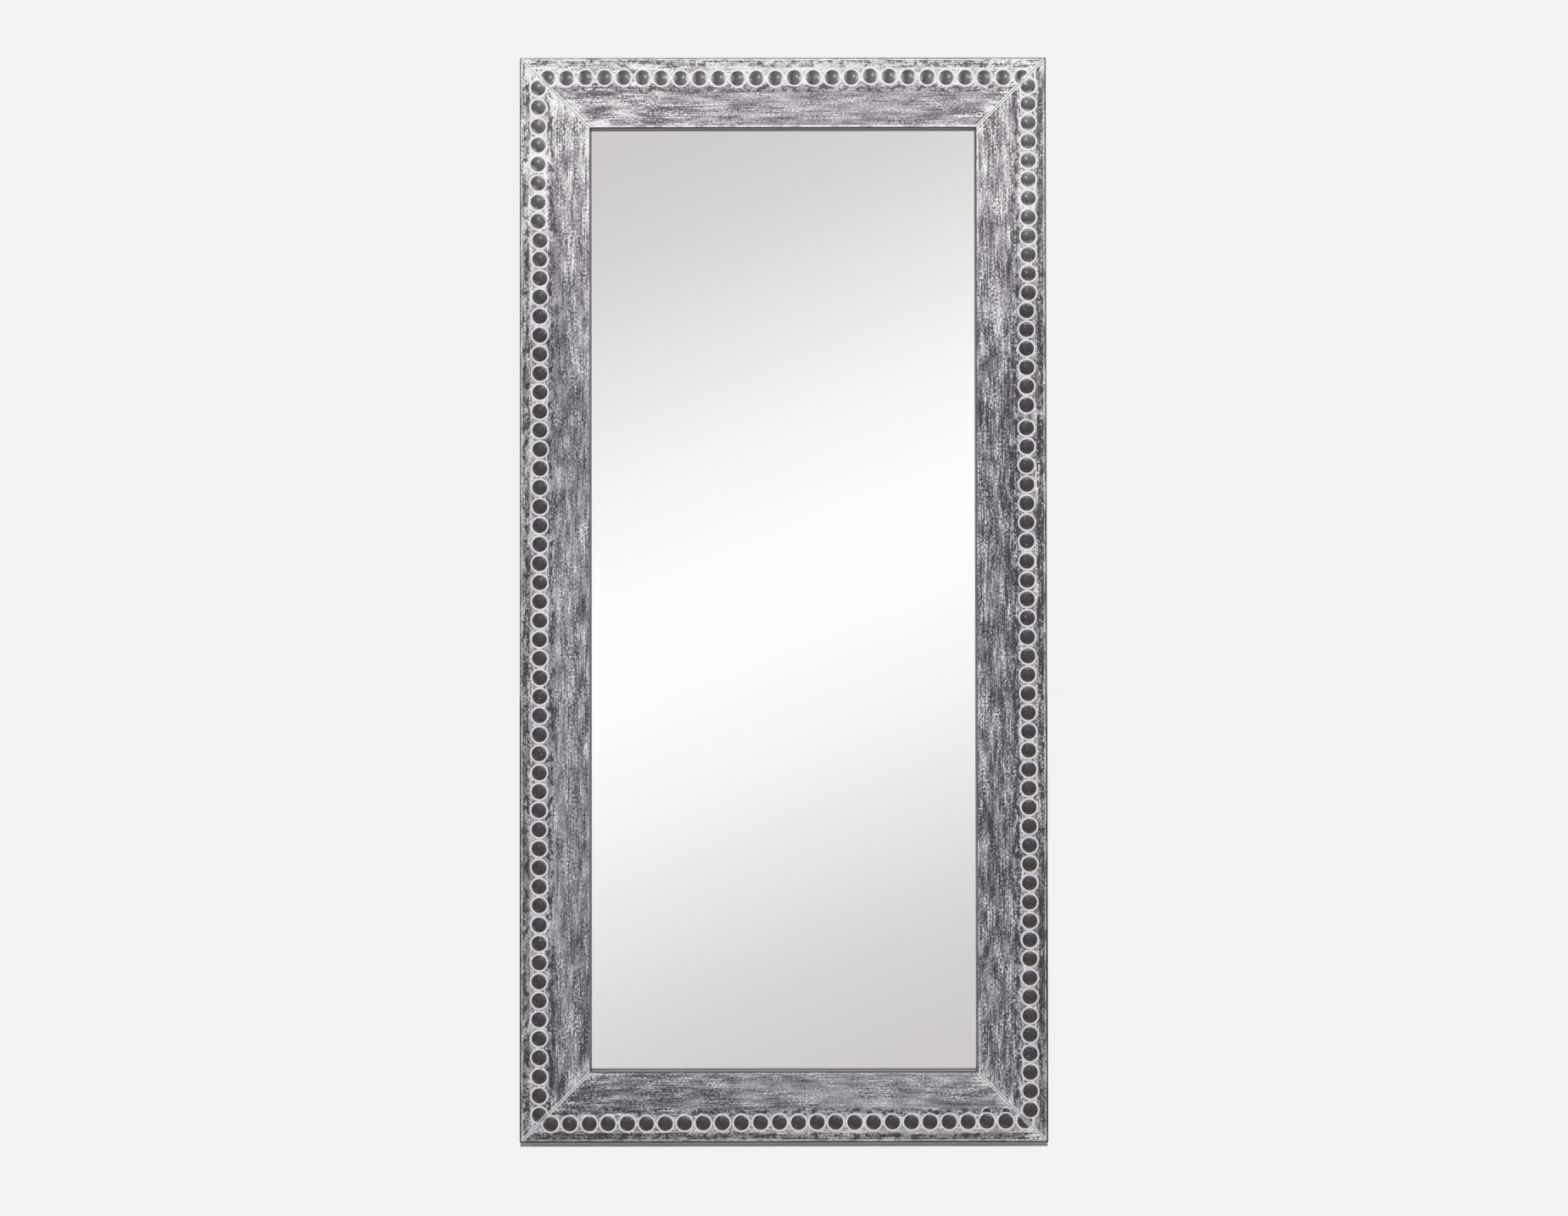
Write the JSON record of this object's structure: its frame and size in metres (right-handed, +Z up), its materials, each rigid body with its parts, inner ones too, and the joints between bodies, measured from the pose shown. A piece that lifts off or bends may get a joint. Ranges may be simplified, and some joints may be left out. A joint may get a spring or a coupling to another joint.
{
  "type": "framed mirror",
  "caption": "Tall mirror in a wide mitred frame of whitewashed sheet iron with a punched dimple border, on a board core with a screwed back panel and swinging hanging rings.",
  "frame": {"origin": "middle of the back panel's rear face, the flat that lies against the wall", "axes": "+Y points into the wall and the mirror faces -Y; +Z is up, along the height; +X is to the right of someone who looks into the mirror"},
  "size_m": [0.889, 0.0307, 1.829],
  "materials": {
    "whitewashed_iron": "matte",
    "mirror": "polished",
    "core_board": "matte",
    "dowel_wood": "matte",
    "panel_board": "matte",
    "cushion_board": "matte",
    "setting_rubber": "matte",
    "tack_steel": "satin",
    "zinc_screw": "satin",
    "zinc_plate": "satin",
    "hanger_steel": "satin",
    "ring_wire": "satin"
  },
  "bodies": {
    "frame": {"cladding_bottom": "whitewashed_iron", "core_bottom": "core_board", "cladding_tacks_bottom": "tack_steel", "back_panel_screws_bottom": "zinc_screw", "cladding_left": "whitewashed_iron", "core_left": "core_board", "cladding_tacks_left": "tack_steel", "back_panel_screws_left": "zinc_screw", "cladding_top": "whitewashed_iron", "core_top": "core_board", "cladding_tacks_top": "tack_steel", "back_panel_screws_top": "zinc_screw", "cladding_right": "whitewashed_iron", "core_right": "core_board", "cladding_tacks_right": "tack_steel", "back_panel_screws_right": "zinc_screw", "mitre_dowels_bottom_left": "dowel_wood", "corner_plate_bottom_left": "zinc_plate", "corner_plate_screws_bottom_left": "zinc_screw", "mitre_dowels_top_left": "dowel_wood", "corner_plate_top_left": "zinc_plate", "corner_plate_screws_top_left": "zinc_screw", "mitre_dowels_top_right": "dowel_wood", "corner_plate_top_right": "zinc_plate", "corner_plate_screws_top_right": "zinc_screw", "mitre_dowels_bottom_right": "dowel_wood", "corner_plate_bottom_right": "zinc_plate", "corner_plate_screws_bottom_right": "zinc_screw", "hanger_strap_left": "hanger_steel", "hanger_screws_left": "zinc_screw", "setting_block_left": "setting_rubber", "hanger_strap_right": "hanger_steel", "hanger_screws_right": "zinc_screw", "setting_block_right": "setting_rubber", "mirror_glass": "mirror", "cushion_sheet": "cushion_board", "back_panel": "panel_board"},
    "ring_left": {"hanger_ring_left": "ring_wire"},
    "ring_right": {"hanger_ring_right": "ring_wire"}
  },
  "joints": [
    {"name": "hanger_ring_left_swing", "type": "hinge", "parent": "frame", "child": "ring_left", "pos_m": [-0.3965, -0.00317, 0.5145], "axis": [-1, 0, 0], "range_deg": [0, 178]},
    {"name": "hanger_ring_right_swing", "type": "hinge", "parent": "frame", "child": "ring_right", "pos_m": [0.3965, -0.00317, 0.5145], "axis": [-1, 0, 0], "range_deg": [0, 178]}
  ]
}
